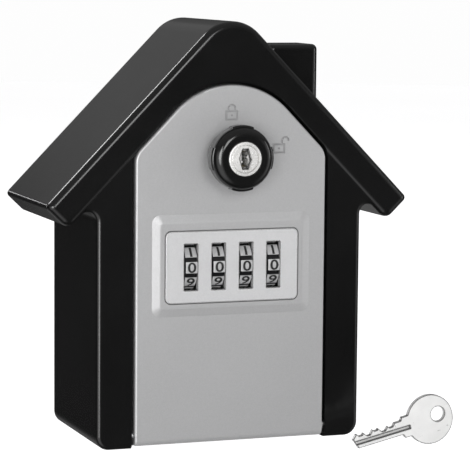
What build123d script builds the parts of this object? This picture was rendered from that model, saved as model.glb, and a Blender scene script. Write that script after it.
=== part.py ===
from build123d import *

import os
from math import cos, radians, sin, tan

# A wall-mounted key lock box in the shape of a small house. The front door drops
# forward on a hinge at its foot. Four number wheels work a locking bar that holds
# the round knob, and an override key turns the lock plug inside that knob.
#
# Frame: +Z up, +X to the right as seen from the front, the front faces -Y.
# The wall plane is Y = 0. The origin is the centre of the four wall-screw holes.
# "Reach" is a distance in front of the wall plane, towards -Y.
# "Height" is measured from the underside of the box, and up() turns it into Z.

# ---------------------------------------------------------------- driving sizes
screw_centre_height = 61.0  # wall-screw pattern centre above the underside
wall_screw_spacing_x = 56.0
wall_screw_spacing_z = 74.0
wall_screw_hole_d = 5.0

# case
case_half_width = 49.8
case_depth = 54.6
wall = 4.0
case_corner_r = 5.0
front_edge_r = 1.8

# roof
roof_angle = 45.8
roof_apex_height = 156.9  # where the two outer slopes would meet
ridge_r = 14.0
roof_thickness = 11.5
eave_half_width = 68.2  # sharp corner, before the tip is rounded
roof_proud = 1.0  # roof front stands this far in front of the pillars
roof_edge_r = 2.5
eave_top_r = 1.6
eave_low_r = 3.2
eave_root_r = 3.2

# chimney
chimney_left = 20.5
chimney_right = 40.1
chimney_front_reach = 36.0
chimney_back_reach = 17.0
chimney_top_height = 142.0
chimney_edge_r = 2.4
chimney_top_r = 2.0

# door
door_half_width = 35.7
door_bottom_height = 0.8
door_angle = 46.0
door_apex_height = 141.3  # where the two slanted edges would meet
door_arch_r = 29.0
door_shoulder_r = 7.0
door_front = 55.0
door_back = 51.0
door_skin = 2.6
door_rim = 3.0
door_gap = 1.0
door_edge_r = 0.8
door_foot_r = 2.0  # lets the door's foot turn without dipping below the box
hinge_reach = 51.2
hinge_height = 4.4
barrel_r = 3.6
barrel_room = 47.0  # reach of the floor of the trough the barrel turns in
hinge_pin_d = 3.0
pin_inner = 32.0
pin_outer = 43.0
pin_end_gap = 0.5

# door stop rim inside the case
rim_back = 46.8
rim_front = 49.8
rim_lap = 2.2  # how far the rim reaches behind the door's edge
rim_spread = 5.0
rim_foot_height = 10.5

# dial
dial_height = 64.3
wheel_reach = 48.1
wheel_r = 9.15
wheel_width = 4.3
wheel_pitch = 10.35
wheel_positions = 10
shaft_d = 3.0
bezel_half_width = 24.9
bezel_half_height = 12.8
bezel_corner_r = 2.0
window_width = 5.1
window_height = 16.6
boss_front = 55.8
bezel_seat = 54.4
bezel_front = 56.05
disc_r = 4.2

# knob and lock
knob_height = 103.3
knob_back = 55.6
knob_front = 68.4
knob_r = 11.2
knob_pad_r = 11.7
knob_base_r = 9.5
barrel_lock_r = 6.0
lock_front = 68.7
lock_back = 45.6
plug_r = 4.97
collar_r = 10.0
tongue_length = 27.0
tongue_width = 8.0

# running fits
running = 0.05
clear = 0.3

# solid-modelling helpers
bite = 0.2  # how far a raised piece starts inside the one it is joined to
through = 30.0  # length of a cut that passes right through

# ------------------------------------------------------------- derived positions
slope = tan(radians(roof_angle))
roof_inner_apex_height = roof_apex_height - roof_thickness / cos(radians(roof_angle))
skin_back = door_front - door_skin
cavity_depth = case_depth - wall
wheel_x = [(i - 1.5) * wheel_pitch for i in range(4)]


def up(height):
    """Z coordinate of a height above the underside of the box."""
    return height - screw_centre_height


def facing(reach):
    """Plane parallel to the wall at this reach, drawn as seen from the front."""
    return Plane.XZ.offset(reach)


def from_behind(reach):
    """Plane parallel to the wall at this reach, drawn as seen from behind."""
    return Plane(origin=(0, -reach, 0), x_dir=(-1, 0, 0), z_dir=(0, 1, 0))


def across(x):
    """Plane square to the hinge and wheel axes at this X, drawn as (Y, Z)."""
    return Plane.YZ.offset(x)


def slot_box(left, right, back_reach, front_reach, low, high):
    """Plain block between two X values, two reaches and two heights."""
    with BuildPart() as block:
        with BuildSketch(facing(back_reach)):
            with Locations(((left + right) / 2, up((low + high) / 2))):
                Rectangle(right - left, high - low)
        extrude(amount=front_reach - back_reach)
    return block.part


def door_outline():
    """House-shaped door outline with rounded shoulders and an arched top."""
    shoulder = door_apex_height - door_half_width * tan(radians(door_angle))
    with BuildSketch() as outline:
        with BuildLine():
            Polyline(
                (-door_half_width, up(door_bottom_height)),
                (door_half_width, up(door_bottom_height)),
                (door_half_width, up(shoulder)),
                (0, up(door_apex_height)),
                (-door_half_width, up(shoulder)),
                close=True,
            )
        make_face()
        fillet(outline.vertices().sort_by(Axis.Y)[-1], door_arch_r)
        shoulders = outline.vertices().filter_by_position(
            Axis.Y, up(shoulder) - 1, up(shoulder) + 1
        )
        fillet(shoulders, door_shoulder_r)
    return outline.sketch


def cavity_outline():
    """Inside of the case: the outer house shape moved in by the wall thickness."""
    half = case_half_width - wall
    apex = roof_apex_height - wall / cos(radians(roof_angle))
    with BuildSketch() as outline:
        with BuildLine():
            Polyline(
                (-half, up(wall)),
                (half, up(wall)),
                (half, up(apex - slope * half)),
                (0, up(apex)),
                (-half, up(apex - slope * half)),
                close=True,
            )
        make_face()
        fillet(outline.vertices().sort_by(Axis.Y)[-1], ridge_r - wall)
        fillet(outline.vertices().sort_by(Axis.Y)[:2], case_corner_r - wall)
    return outline.sketch


door_face = door_outline()
cavity_face = cavity_outline()

# ============================================================== case (fixed body)

# Outline below the roof: straight walls, a rounded corner at each foot and a
# concave sweep into the underside of each eave.
underside_at_wall = roof_inner_apex_height - slope * case_half_width
sweep_end_x = case_half_width + 6.2
sweep_end_height = roof_inner_apex_height - slope * sweep_end_x
into_roof = 4.0
roof_in_x = into_roof * sin(radians(roof_angle))
roof_in_z = into_roof * cos(radians(roof_angle))

with BuildPart() as house_body:
    with BuildSketch(facing(0)) as body_outline:
        with BuildLine():
            right_side = Polyline(
                (0, up(0)),
                (case_half_width, up(0)),
                (case_half_width, up(underside_at_wall)),
                (sweep_end_x, up(sweep_end_height)),
                (sweep_end_x + roof_in_x, up(sweep_end_height + roof_in_z)),
                (0, up(roof_inner_apex_height + into_roof)),
            )
            mirror(right_side, about=Plane.YZ)
        make_face()
        feet = body_outline.vertices().filter_by_position(Axis.Y, up(0) - 1, up(0) + 1)
        fillet([v for v in feet if abs(v.X) > 1], case_corner_r)
        roots = body_outline.vertices().filter_by_position(
            Axis.Y, up(underside_at_wall) - 0.5, up(underside_at_wall) + 0.5
        )
        fillet(roots, eave_root_r)
    extrude(amount=case_depth)
    front_face = house_body.faces().sort_by(Axis.Y)[0]
    low_edges = front_face.edges().filter_by(
        lambda e: e.center().Z < up(sweep_end_height + 1)
    )
    fillet(low_edges, front_edge_r)

# Roof: one bent slab with a rounded ridge and rounded eave tips.
eave_height = roof_apex_height - slope * eave_half_width
tip_x = eave_half_width - roof_thickness * sin(radians(roof_angle))
tip_height = eave_height - roof_thickness * cos(radians(roof_angle))

with BuildPart() as roof:
    with BuildSketch(facing(0)) as roof_outline:
        with BuildLine():
            Polyline(
                (-eave_half_width, up(eave_height)),
                (0, up(roof_apex_height)),
                (eave_half_width, up(eave_height)),
                (tip_x, up(tip_height)),
                (0, up(roof_inner_apex_height)),
                (-tip_x, up(tip_height)),
                close=True,
            )
        make_face()
        fillet(roof_outline.vertices().sort_by(Axis.Y)[-1], ridge_r)
        fillet(roof_outline.vertices().sort_by(Axis.Y)[2:4], eave_top_r)
        fillet(roof_outline.vertices().sort_by(Axis.Y)[:2], eave_low_r)
        # the gable fills down to the arch of the door
        fillet(
            roof_outline.vertices().filter_by_position(
                Axis.Y, up(roof_inner_apex_height) - 1, up(roof_inner_apex_height) + 1
            ),
            door_arch_r,
        )
    extrude(amount=case_depth + roof_proud)
    fillet(roof.faces().sort_by(Axis.Y)[0].edges(), roof_edge_r)

# Chimney: starts inside the right slope, its inside is cleared by the cavity.
chimney_foot_height = roof_apex_height - slope * chimney_right - wall
with BuildPart() as chimney:
    with BuildSketch(Plane.XY.offset(up(chimney_foot_height))):
        with Locations(
            (
                (chimney_left + chimney_right) / 2,
                -(chimney_front_reach + chimney_back_reach) / 2,
            )
        ):
            Rectangle(chimney_right - chimney_left, chimney_front_reach - chimney_back_reach)
    extrude(amount=chimney_top_height - chimney_foot_height)
    fillet(chimney.edges().filter_by(Axis.Z), chimney_edge_r)
    fillet(chimney.faces().sort_by(Axis.Z)[-1].edges(), chimney_top_r)

# Solid feet of the two pillars, which carry the hinge pins.
foot_outer = 46.5
foot_inner = door_half_width + door_gap
foot_back = 45.0
foot_front = 52.0
foot_low = 2.0
foot_high = 10.0

# Screw bosses for the back plate: one pair at the foot, one below the eaves and
# one under the ridge.
back_screw_rows = ((42.3, 12), (42.3, 92), (17, 128.5))
back_screw_points = [(side * x, up(height)) for x, height in back_screw_rows for side in (-1, 1)]
back_boss_r = 3.75
back_boss_reach = 18.0
back_screw_r = 1.45
back_screw_hole_r = 1.5
back_screw_hole_depth = 14.0
plate_thickness = 2.0
plate_lap = 1.3

with BuildPart() as case_shell:
    add(house_body.part)
    add(roof.part)
    add(chimney.part)
    with BuildSketch(facing(0)):
        add(cavity_face)
    extrude(amount=cavity_depth, mode=Mode.SUBTRACT)
    # door stop rim and pillar feet
    with BuildSketch(facing(rim_back)):
        offset(door_face, amount=rim_spread, mode=Mode.ADD)
        with Locations((0, up(0))):
            Rectangle(3 * case_half_width, 2 * rim_foot_height, mode=Mode.SUBTRACT)
    extrude(amount=cavity_depth - rim_back + bite)
    add(slot_box(-foot_outer, -foot_inner, foot_back, foot_front, foot_low, foot_high))
    add(slot_box(foot_inner, foot_outer, foot_back, foot_front, foot_low, foot_high))
    with BuildSketch(facing(plate_thickness - bite)):
        with Locations(*back_screw_points):
            Circle(back_boss_r)
    extrude(amount=back_boss_reach - plate_thickness + bite)
    # doorway: full size in front, narrowed by the rim behind the door
    with BuildSketch(facing(rim_front)):
        offset(door_face, amount=door_gap, mode=Mode.ADD)
    extrude(amount=through, mode=Mode.SUBTRACT)
    with BuildSketch(facing(rim_back - bite)):
        offset(door_face, amount=-rim_lap, mode=Mode.ADD)
    extrude(amount=through, mode=Mode.SUBTRACT)
    add(
        slot_box(-foot_inner, foot_inner, barrel_room, case_depth + 1, -1, rim_foot_height),
        mode=Mode.SUBTRACT,
    )
    # hinge pin holes through the pillar feet
    with BuildSketch(across(-pin_outer)):
        with Locations((-hinge_reach, up(hinge_height))):
            Circle(hinge_pin_d / 2)
    extrude(amount=2 * pin_outer, mode=Mode.SUBTRACT)
    # seat for the back plate and its screw holes
    with BuildSketch(facing(0)):
        offset(cavity_face, amount=plate_lap, mode=Mode.ADD)
    extrude(amount=plate_thickness, mode=Mode.SUBTRACT)
    with BuildSketch(facing(0)):
        with Locations(*back_screw_points):
            Circle(back_screw_hole_r)
    extrude(amount=back_screw_hole_depth, mode=Mode.SUBTRACT)

# Back plate, dropped into its seat and held by countersunk screws.
plate_play = 0.15
screw_sink_r = 3.0
screw_head_r = 2.8
screw_head_depth = 1.45
screw_head_angle = 41
screw_length = 12.0
with BuildPart() as back_plate:
    with BuildSketch(facing(0)):
        offset(cavity_face, amount=plate_lap - plate_play, mode=Mode.ADD)
    extrude(amount=plate_thickness)
    with Locations(from_behind(0)):
        with Locations(*back_screw_points):
            CounterSinkHole(
                radius=back_screw_hole_r + running,
                counter_sink_radius=screw_sink_r,
                depth=plate_thickness,
            )
    with BuildSketch(facing(0)):
        with GridLocations(wall_screw_spacing_x, wall_screw_spacing_z, 2, 2):
            Circle(wall_screw_hole_d / 2)
    extrude(amount=plate_thickness, mode=Mode.SUBTRACT)

cross_length = 3.2
cross_width = 0.7
cross_depth = 0.8
with BuildPart() as back_plate_screws:
    with BuildSketch(facing(running)):
        with Locations(*back_screw_points):
            Circle(back_screw_r)
    extrude(amount=screw_length)
    with BuildSketch(facing(running)):
        with Locations(*back_screw_points):
            Circle(screw_head_r)
    extrude(amount=screw_head_depth, taper=screw_head_angle)
    with BuildSketch(facing(running)):
        with Locations(*back_screw_points):
            Rectangle(cross_length, cross_width)
            Rectangle(cross_width, cross_length)
    extrude(amount=cross_depth, mode=Mode.SUBTRACT)

# Gasket on the front face of the stop rim, squeezed lightly by the closed door.
gasket_front = 50.85
gasket_outer = 0.5
gasket_edge_r = 0.3
with BuildPart() as door_gasket:
    with BuildSketch(facing(rim_front)):
        offset(door_face, amount=gasket_outer, mode=Mode.ADD)
        offset(door_face, amount=clear - rim_lap, mode=Mode.SUBTRACT)
        with Locations((0, up(0))):
            Rectangle(3 * case_half_width, 2 * rim_foot_height + 1, mode=Mode.SUBTRACT)
    extrude(amount=gasket_front - rim_front)
    fillet(door_gasket.faces().sort_by(Axis.Y)[0].edges(), gasket_edge_r)

# Hinge pins: one in each pillar foot, running in the ends of the door's barrel.
with BuildPart() as hinge_pins:
    for start in (-pin_outer, pin_inner):
        with BuildSketch(across(start)):
            with Locations((-hinge_reach, up(hinge_height))):
                Circle(hinge_pin_d / 2)
        extrude(amount=pin_outer - pin_inner)

# Strike plate behind the top of the rim, where the latch tongue catches.
strike_half_width = 9.5
strike_low = 127.2
strike_high = 133.2
strike_back = 45.6
strike_corner_r = 1.5
strike_screw_x = 6.8
strike_screw_r = 0.95
strike_hole_r = 1.1
strike_sink_r = 1.9
strike_head_r = 1.8
strike_head_depth = 0.9
strike_screw_length = 5.0
strike_middle = (strike_low + strike_high) / 2
strike_points = [(side * strike_screw_x, up(strike_middle)) for side in (-1, 1)]
with BuildPart() as strike_plate:
    with BuildSketch(facing(strike_back)) as strike_outline:
        with Locations((0, up(strike_middle))):
            Rectangle(2 * strike_half_width, strike_high - strike_low)
        fillet(strike_outline.vertices().sort_by(Axis.Y)[-2:], strike_corner_r)
    extrude(amount=rim_back - strike_back)
    with Locations(from_behind(strike_back)):
        with Locations(*strike_points):
            CounterSinkHole(
                radius=strike_hole_r,
                counter_sink_radius=strike_sink_r,
                depth=rim_back - strike_back,
            )

with BuildPart() as strike_screws:
    with BuildSketch(facing(strike_back + running)):
        with Locations(*strike_points):
            Circle(strike_head_r)
    extrude(amount=strike_head_depth, taper=screw_head_angle)
    with BuildSketch(facing(strike_back + running)):
        with Locations(*strike_points):
            Circle(strike_screw_r)
    extrude(amount=strike_screw_length)
    with BuildSketch(facing(strike_back)):
        with Locations(*strike_points):
            Rectangle(2 * strike_hole_r, strike_screw_r / 2)
    extrude(amount=strike_screw_r / 2, mode=Mode.SUBTRACT)

with BuildPart(mode=Mode.PRIVATE) as strike_screw_holes:
    with BuildSketch(facing(rim_back - bite)):
        with Locations(*strike_points):
            Circle(strike_screw_r + running)
    extrude(amount=strike_screw_length)

with BuildPart() as finished_case:
    add(case_shell.part)
    add(strike_screw_holes.part, mode=Mode.SUBTRACT)

# ============================================================== door (swings)

boss_margin = 1.9
boss_head = 1.1  # extra margin above the dial plate
boss_slope = 3.6
boss_soft_r = 2.4
boss_corner_r = 1.2
boss_outer_corner_r = 3.4
boss_half_width = bezel_half_width + boss_margin
boss_top = dial_height + bezel_half_height + boss_margin + boss_head
boss_bottom = dial_height - bezel_half_height - boss_margin
boss_middle = (boss_top + boss_bottom) / 2
boss_half_height = (boss_top - boss_bottom) / 2
bezel_gap = 0.35
dial_opening_width = 6.4
dial_opening_height = 19.6
knob_boss_r = 12.0
knob_boss_height = 2.0
bushing_r = 7.5

# Studs on the back of the dial plate run through the door and the wheel cage.
stud_x = 22.8
stud_z = 9.6
stud_r = 1.0
stud_points = [(sx * stud_x, up(dial_height) + sz * stud_z) for sx in (-1, 1) for sz in (-1, 1)]

# Posts on the back of the door that take the inner cover's screws.
cover_back = 36.3
cover_wall = 1.4
cover_low = 47.0
cover_step = 89.0
cover_top = 117.0
cover_half_width = 29.0
neck_half_width = 17.0
neck_back = 45.7
low_post_points = [(side * 25.6, up(50.4)) for side in (-1, 1)]
high_post_points = [(side * 13.4, up(113.4)) for side in (-1, 1)]
post_r = 2.0
post_hole_r = 0.9
post_hole_depth = 4.5

with BuildPart() as boss:
    with BuildSketch(facing(door_front - bite)):
        with Locations((0, up(boss_middle))):
            RectangleRounded(
                2 * (boss_half_width + boss_slope),
                2 * (boss_half_height + boss_slope),
                boss_outer_corner_r,
            )
    with BuildSketch(facing(boss_front)):
        with Locations((0, up(boss_middle))):
            RectangleRounded(2 * boss_half_width, 2 * boss_half_height, boss_corner_r)
    loft()
    fillet(boss.faces().sort_by(Axis.Y)[0].edges(), boss_soft_r)

with BuildPart() as door_panel:
    with BuildSketch(facing(door_back)):
        add(door_face)
    extrude(amount=door_front - door_back)
    fillet(door_panel.faces().sort_by(Axis.Y)[0].edges().sort_by(Axis.Z)[0], door_foot_r)
    fillet(door_panel.faces().sort_by(Axis.Y)[0].edges().sort_by(Axis.Z)[1:], door_edge_r)
    # shallow tray behind the skin
    with BuildSketch(facing(door_back)):
        offset(door_face, amount=-door_rim, mode=Mode.ADD)
    extrude(amount=skin_back - door_back, mode=Mode.SUBTRACT)
    # hinge barrel along the foot
    with BuildSketch(across(-door_half_width)):
        with Locations((-hinge_reach, up(hinge_height))):
            Circle(barrel_r)
    extrude(amount=2 * door_half_width)
    with BuildSketch(across(-door_half_width)):
        with Locations((-hinge_reach, up(hinge_height))):
            Circle(hinge_pin_d / 2 + running)
    extrude(amount=door_half_width - pin_inner + pin_end_gap, mode=Mode.SUBTRACT)
    with BuildSketch(across(pin_inner - pin_end_gap)):
        with Locations((-hinge_reach, up(hinge_height))):
            Circle(hinge_pin_d / 2 + running)
    extrude(amount=door_half_width - pin_inner + pin_end_gap, mode=Mode.SUBTRACT)
    # raised frame round the dial, seat for the dial plate
    add(boss.part)
    with BuildSketch(facing(bezel_seat)):
        with Locations((0, up(dial_height))):
            RectangleRounded(
                2 * (bezel_half_width + bezel_gap),
                2 * (bezel_half_height + bezel_gap),
                bezel_corner_r + bezel_gap,
            )
    extrude(amount=through, mode=Mode.SUBTRACT)
    # thickened round seat of the knob bushing
    with BuildSketch(facing(door_back)):
        with Locations((0, up(knob_height))):
            Circle(knob_boss_r)
    extrude(amount=knob_boss_height)
    with BuildSketch(facing(door_back)):
        with Locations((0, up(knob_height))):
            Circle(bushing_r)
    extrude(amount=through, mode=Mode.SUBTRACT)
    # dial openings and stud holes
    with BuildSketch(facing(door_back)):
        with Locations(*[(x, up(dial_height)) for x in wheel_x]):
            Rectangle(dial_opening_width, dial_opening_height)
        with Locations(*stud_points):
            Circle(stud_r + running)
    extrude(amount=through, mode=Mode.SUBTRACT)
    # posts for the screws of the inner cover
    for points, back in ((low_post_points, cover_back), (high_post_points, neck_back)):
        with BuildSketch(facing(back + cover_wall)):
            with Locations(*points):
                Circle(post_r)
        extrude(amount=skin_back - back - cover_wall + bite)
        with BuildSketch(facing(back + cover_wall)):
            with Locations(*points):
                Circle(post_hole_r)
        extrude(amount=post_hole_depth, mode=Mode.SUBTRACT)

# Padlock symbols sunk into the door: closed above the knob, open at its right.
symbol_depth = 0.45
symbol_stroke = 0.7
symbol_body_width = 4.8
symbol_body_height = 3.6
shackle_r = 1.6
closed_symbol = (-0.3, up(knob_height + 14.4))
open_symbol = (17.6, up(knob_height + 2.4))
closed_lift = 0.7
open_lift = 1.0
open_swing = 2.4


def padlock(x, z, lift, swing):
    """Padlock drawn in one stroke width: a body ring with a keyhole, and a shackle."""
    foot = z + symbol_body_height / 2
    bow = (x + swing, foot + lift)
    with BuildSketch() as symbol:
        with Locations(bow):
            Circle(shackle_r)
            Circle(shackle_r - symbol_stroke, mode=Mode.SUBTRACT)
            with Locations((0, -shackle_r)):
                Rectangle(2 * shackle_r, 2 * shackle_r, mode=Mode.SUBTRACT)
        for side in (-1, 1):
            bottom = foot - symbol_stroke if swing == 0 or side < 0 else bow[1] - bite
            middle = (bow[0] + side * (shackle_r - symbol_stroke / 2), (bottom + bow[1]) / 2)
            with Locations(middle):
                Rectangle(symbol_stroke, bow[1] - bottom)
        with Locations((x, z)):
            Rectangle(symbol_body_width, symbol_body_height)
            Rectangle(
                symbol_body_width - 2 * symbol_stroke,
                symbol_body_height - 2 * symbol_stroke,
                mode=Mode.SUBTRACT,
            )
            Circle(symbol_stroke / 2)
    return symbol.sketch


with BuildPart() as marked_door:
    add(door_panel.part)
    with BuildSketch(facing(door_front - symbol_depth)):
        add(padlock(*closed_symbol, closed_lift, 0))
        add(padlock(*open_symbol, open_lift, open_swing))
    extrude(amount=symbol_depth + bite, mode=Mode.SUBTRACT)

# Dial plate with its four windows and four studs.
bezel_edge_r = 0.3
stud_back = 50.2
with BuildPart() as dial_bezel:
    with BuildSketch(facing(bezel_seat)):
        with Locations((0, up(dial_height))):
            RectangleRounded(2 * bezel_half_width, 2 * bezel_half_height, bezel_corner_r)
        with Locations(*[(x, up(dial_height)) for x in wheel_x]):
            Rectangle(window_width, window_height, mode=Mode.SUBTRACT)
    extrude(amount=bezel_front - bezel_seat)
    rims = dial_bezel.faces().sort_by(Axis.Y)[0].outer_wire().edges()
    fillet(rims, bezel_edge_r)
    with BuildSketch(facing(stud_back)):
        with Locations(*stud_points):
            Circle(stud_r)
    extrude(amount=bezel_seat - stud_back)

push_nut_back = 50.3
push_nut_r = 2.1
push_nut_thickness = 0.5
with BuildPart() as stud_push_nuts:
    with BuildSketch(facing(push_nut_back)):
        with Locations(*stud_points):
            Circle(push_nut_r)
        with Locations(*stud_points):
            Circle(stud_r, mode=Mode.SUBTRACT)
    extrude(amount=push_nut_thickness)

bushing_back = 50.5
bushing_flange_r = 9.2
bushing_flange_thickness = 0.3
with BuildPart() as knob_bushing:
    with BuildSketch(facing(bushing_back)):
        with Locations((0, up(knob_height))):
            Circle(bushing_r)
    extrude(amount=door_front - bushing_back)
    with BuildSketch(facing(door_front)):
        with Locations((0, up(knob_height))):
            Circle(bushing_flange_r)
    extrude(amount=bushing_flange_thickness)
    with BuildSketch(facing(bushing_back - bite)):
        with Locations((0, up(knob_height))):
            Circle(barrel_lock_r + running)
    extrude(amount=through, mode=Mode.SUBTRACT)

# Wheel cage: a plate on the back of the door skin with two cheeks for the shaft
# and thin fins that keep the wheels apart.
cage_plate = 1.6
cage_width = 51.0
cage_front = skin_back
cage_half_height = 11.6
cheek_inner = 21.0
cheek_outer = 23.2
cheek_half_height = 6.6
cheek_back = 44.6
fin_offset = 5.3
fin_thickness = 1.0
fin_top = 10.6
fin_bottom = -9.8
opening_left = wheel_x[0] - 3.2
opening_right = wheel_x[3] + 5.0
with BuildPart() as wheel_cage:
    with BuildSketch(facing(cage_front - cage_plate)):
        with Locations((0, up(dial_height))):
            Rectangle(cage_width, 2 * cage_half_height)
        with Locations(((opening_left + opening_right) / 2, up(dial_height))):
            Rectangle(opening_right - opening_left, dial_opening_height, mode=Mode.SUBTRACT)
        with Locations(*stud_points):
            Circle(stud_r + running, mode=Mode.SUBTRACT)
    extrude(amount=cage_plate)
    for side in (-1, 1):
        with BuildSketch(facing(cheek_back)):
            with Locations((side * (cheek_inner + cheek_outer) / 2, up(dial_height))):
                Rectangle(cheek_outer - cheek_inner, 2 * cheek_half_height)
        extrude(amount=cage_front - cage_plate - cheek_back + bite)
    with BuildSketch(facing(cheek_back)):
        with Locations(
            *[(x + fin_offset, up(dial_height + (fin_top + fin_bottom) / 2)) for x in wheel_x[:3]]
        ):
            Rectangle(fin_thickness, fin_top - fin_bottom)
    extrude(amount=cage_front - cage_plate - cheek_back + bite)
    with BuildSketch(across(-cheek_outer - 1)):
        with Locations((-wheel_reach, up(dial_height))):
            Circle(shaft_d / 2)
    extrude(amount=2 * cheek_outer + 2, mode=Mode.SUBTRACT)

shaft_half_length = 24.6
shaft_chamfer = 0.3
clip_x = 23.4
clip_thickness = 0.6
clip_groove_r = 1.1
clip_r = 2.5
clip_mouth = 1.6
clip_starts = (-clip_x - clip_thickness, clip_x)
with BuildPart() as wheel_shaft:
    with BuildSketch(across(-shaft_half_length)):
        with Locations((-wheel_reach, up(dial_height))):
            Circle(shaft_d / 2)
    extrude(amount=2 * shaft_half_length)
    chamfer(wheel_shaft.edges().filter_by(GeomType.CIRCLE), shaft_chamfer)
    for start in clip_starts:
        with BuildSketch(across(start)):
            with Locations((-wheel_reach, up(dial_height))):
                Circle(shaft_d)
                Circle(clip_groove_r, mode=Mode.SUBTRACT)
        extrude(amount=clip_thickness, mode=Mode.SUBTRACT)

with BuildPart() as shaft_clips:
    for start in clip_starts:
        with BuildSketch(across(start)):
            with Locations((-wheel_reach, up(dial_height))):
                Circle(clip_r)
                Circle(clip_groove_r, mode=Mode.SUBTRACT)
                with Locations((0, -clip_r / 2 - clip_groove_r / 2)):
                    Rectangle(clip_mouth, clip_r + clip_groove_r, mode=Mode.SUBTRACT)
        extrude(amount=clip_thickness)

# Spring comb under the wheels: one finger for each wheel.
comb_top = dial_height - dial_opening_height / 2 - 0.1
comb_length = 40.0
comb_width = 1.5
comb_thickness = 0.4
finger_width = 3.2
finger_bend_reach = 47.2
finger_tip_reach = 44.2
finger_dip = 0.5
finger_rise = 1.2
with BuildPart() as detent_springs:
    with BuildSketch(facing(cage_front - cage_plate - comb_thickness)):
        with Locations((0, up(comb_top - comb_width / 2))):
            Rectangle(comb_length, comb_width)
    extrude(amount=comb_thickness)
    for x in wheel_x:
        with BuildSketch(across(x - finger_width / 2)):
            with BuildLine():
                Polyline(
                    (-(cage_front - cage_plate - comb_thickness), up(comb_top)),
                    (-(cage_front - cage_plate - comb_thickness), up(comb_top - comb_thickness)),
                    (-finger_bend_reach, up(comb_top - comb_thickness - finger_dip)),
                    (-finger_tip_reach, up(comb_top - comb_thickness + finger_rise)),
                    (-finger_tip_reach, up(comb_top + finger_rise)),
                    (-finger_bend_reach, up(comb_top - finger_dip)),
                    close=True,
                )
            make_face()
        extrude(amount=finger_width)

# Number wheels and the code discs on their right-hand sides.
groove_width = 1.7
groove_depth = 0.75
wheel_chamfer = 0.25
disc_hub_r = 2.6
disc_offset = wheel_width / 2 + 0.3
disc_thickness = 1.9
gate_width = 2.4
gate_depth = 1.1
wheels = []
discs = []
for x in wheel_x:
    with BuildPart() as dial_wheel:
        with BuildSketch(across(x - wheel_width / 2)):
            with Locations((-wheel_reach, up(dial_height))):
                Circle(wheel_r)
                Circle(shaft_d / 2 + running, mode=Mode.SUBTRACT)
                with PolarLocations(wheel_r, wheel_positions, 180 / wheel_positions):
                    Rectangle(2 * groove_depth, groove_width, mode=Mode.SUBTRACT)
        extrude(amount=wheel_width)
        outer = dial_wheel.edges().filter_by(GeomType.CIRCLE)
        chamfer(outer.filter_by(lambda e: e.radius > wheel_r - 0.1), wheel_chamfer)
    wheels.append(dial_wheel)
    with BuildPart() as code_disc:
        with BuildSketch(across(x + wheel_width / 2)):
            with Locations((-wheel_reach, up(dial_height))):
                Circle(disc_hub_r)
                Circle(shaft_d / 2 + running, mode=Mode.SUBTRACT)
        extrude(amount=disc_offset - wheel_width / 2 + disc_thickness)
        with BuildSketch(across(x + disc_offset)):
            with Locations((-wheel_reach, up(dial_height))):
                Circle(disc_r)
                Circle(shaft_d / 2 + running, mode=Mode.SUBTRACT)
                with Locations((0, disc_r)):
                    Rectangle(gate_width, 2 * gate_depth, mode=Mode.SUBTRACT)
        extrude(amount=disc_thickness)
    discs.append(code_disc)

# Locking bar: a comb with one foot above each code disc and a stem up to the collar.
bar_back = 47.3
bar_thickness = 1.8
bar_low = 75.6
bar_high = 79.6
foot_bottom = dial_height + disc_r + 0.4
foot_width = 1.4
bar_corner_r = 0.6
bar_end = 2.5  # how far the bar reaches past its outer feet
touch = 0.01  # overlap that joins two outlines
foot_offset = disc_offset + disc_thickness / 2
stem_half_width = 2.4
stem_top = knob_height - collar_r - 0.4
bar_left = wheel_x[0] + foot_offset - bar_end
bar_right = wheel_x[3] + foot_offset + bar_end
with BuildPart() as locking_bar:
    with BuildSketch(facing(bar_back)) as bar_outline:
        with Locations(((bar_left + bar_right) / 2, up((bar_low + bar_high) / 2))):
            Rectangle(bar_right - bar_left, bar_high - bar_low)
        with Locations(*[(x + foot_offset, up((foot_bottom + bar_low) / 2)) for x in wheel_x]):
            Rectangle(foot_width, bar_low - foot_bottom + touch)
        with Locations((0, up((bar_high + stem_top) / 2))):
            Rectangle(2 * stem_half_width, stem_top - bar_high + touch)
        fillet(bar_outline.vertices().group_by(Axis.Y)[-1], bar_corner_r)
    extrude(amount=bar_thickness)

# Two coil springs press the bar down onto the discs.
spring_x = (-9.0, 9.0)
spring_reach = bar_back + bar_thickness / 2
spring_r = 1.3
spring_wire_r = 0.22
spring_turns = 4
spring_end_gap = 0.02
spring_low = bar_high + spring_wire_r + spring_end_gap
ledge_low = 87.0
spring_length = ledge_low - bar_high - 2 * (spring_wire_r + spring_end_gap)
with BuildPart() as bar_springs:
    for x in spring_x:
        with BuildLine(Plane((x, -spring_reach, up(spring_low)))) as coil:
            Helix(spring_length / spring_turns, spring_length, spring_r)
        with BuildSketch(Plane(coil.edges()[0] @ 0, z_dir=coil.edges()[0] % 0)):
            Circle(spring_wire_r)
        sweep(path=coil.edges()[0])

# Inner cover: deep over the wheels, shallow round the lock barrel.
slider_height = 80.0
slider_travel = 6.0
slot_left = -5.4
slot_right = 7.5
slot_half_height = 1.7
cover_corner_r = 2.2
neck_overlap = 2.0
ledge_x = 8.6
ledge_width = 11.4
ledge_thickness = 1.2
ledge_front = 49.6
cover_hole_r = 1.1
cover_sink_r = 2.1

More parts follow.
